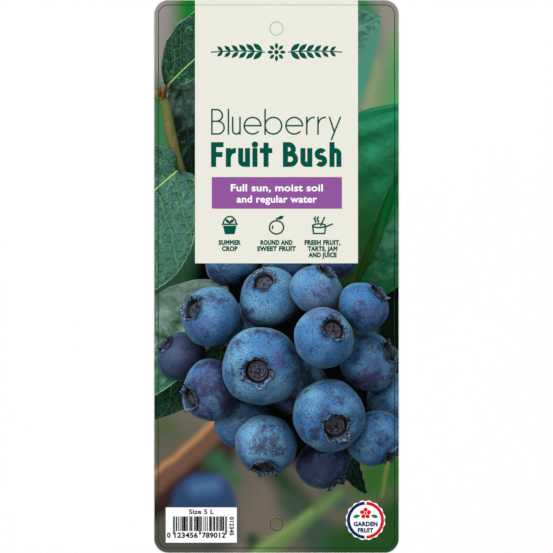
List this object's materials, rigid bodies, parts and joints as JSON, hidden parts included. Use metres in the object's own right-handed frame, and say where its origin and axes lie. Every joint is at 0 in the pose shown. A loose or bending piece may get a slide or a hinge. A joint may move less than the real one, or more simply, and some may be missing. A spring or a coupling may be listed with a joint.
{
  "type": "plant label",
  "caption": "Flat printed plastic plant label with rounded corners and a small round push-out disc near each end.",
  "frame": {"origin": "centre of the label's flat underside", "axes": "+Z out of the printed side, +Y towards the top of the label, +X to the right of the printed side"},
  "size_m": [0.1036, 0.234, 0.0005],
  "materials": {
    "picture_print": "satin, colour picture printed on white plastic",
    "panel_print": "satin, cream printed on white plastic"
  },
  "bodies": {
    "root": {"sheet": "picture_print", "top_disc": "panel_print", "bottom_disc": "picture_print"}
  },
  "joints": []
}
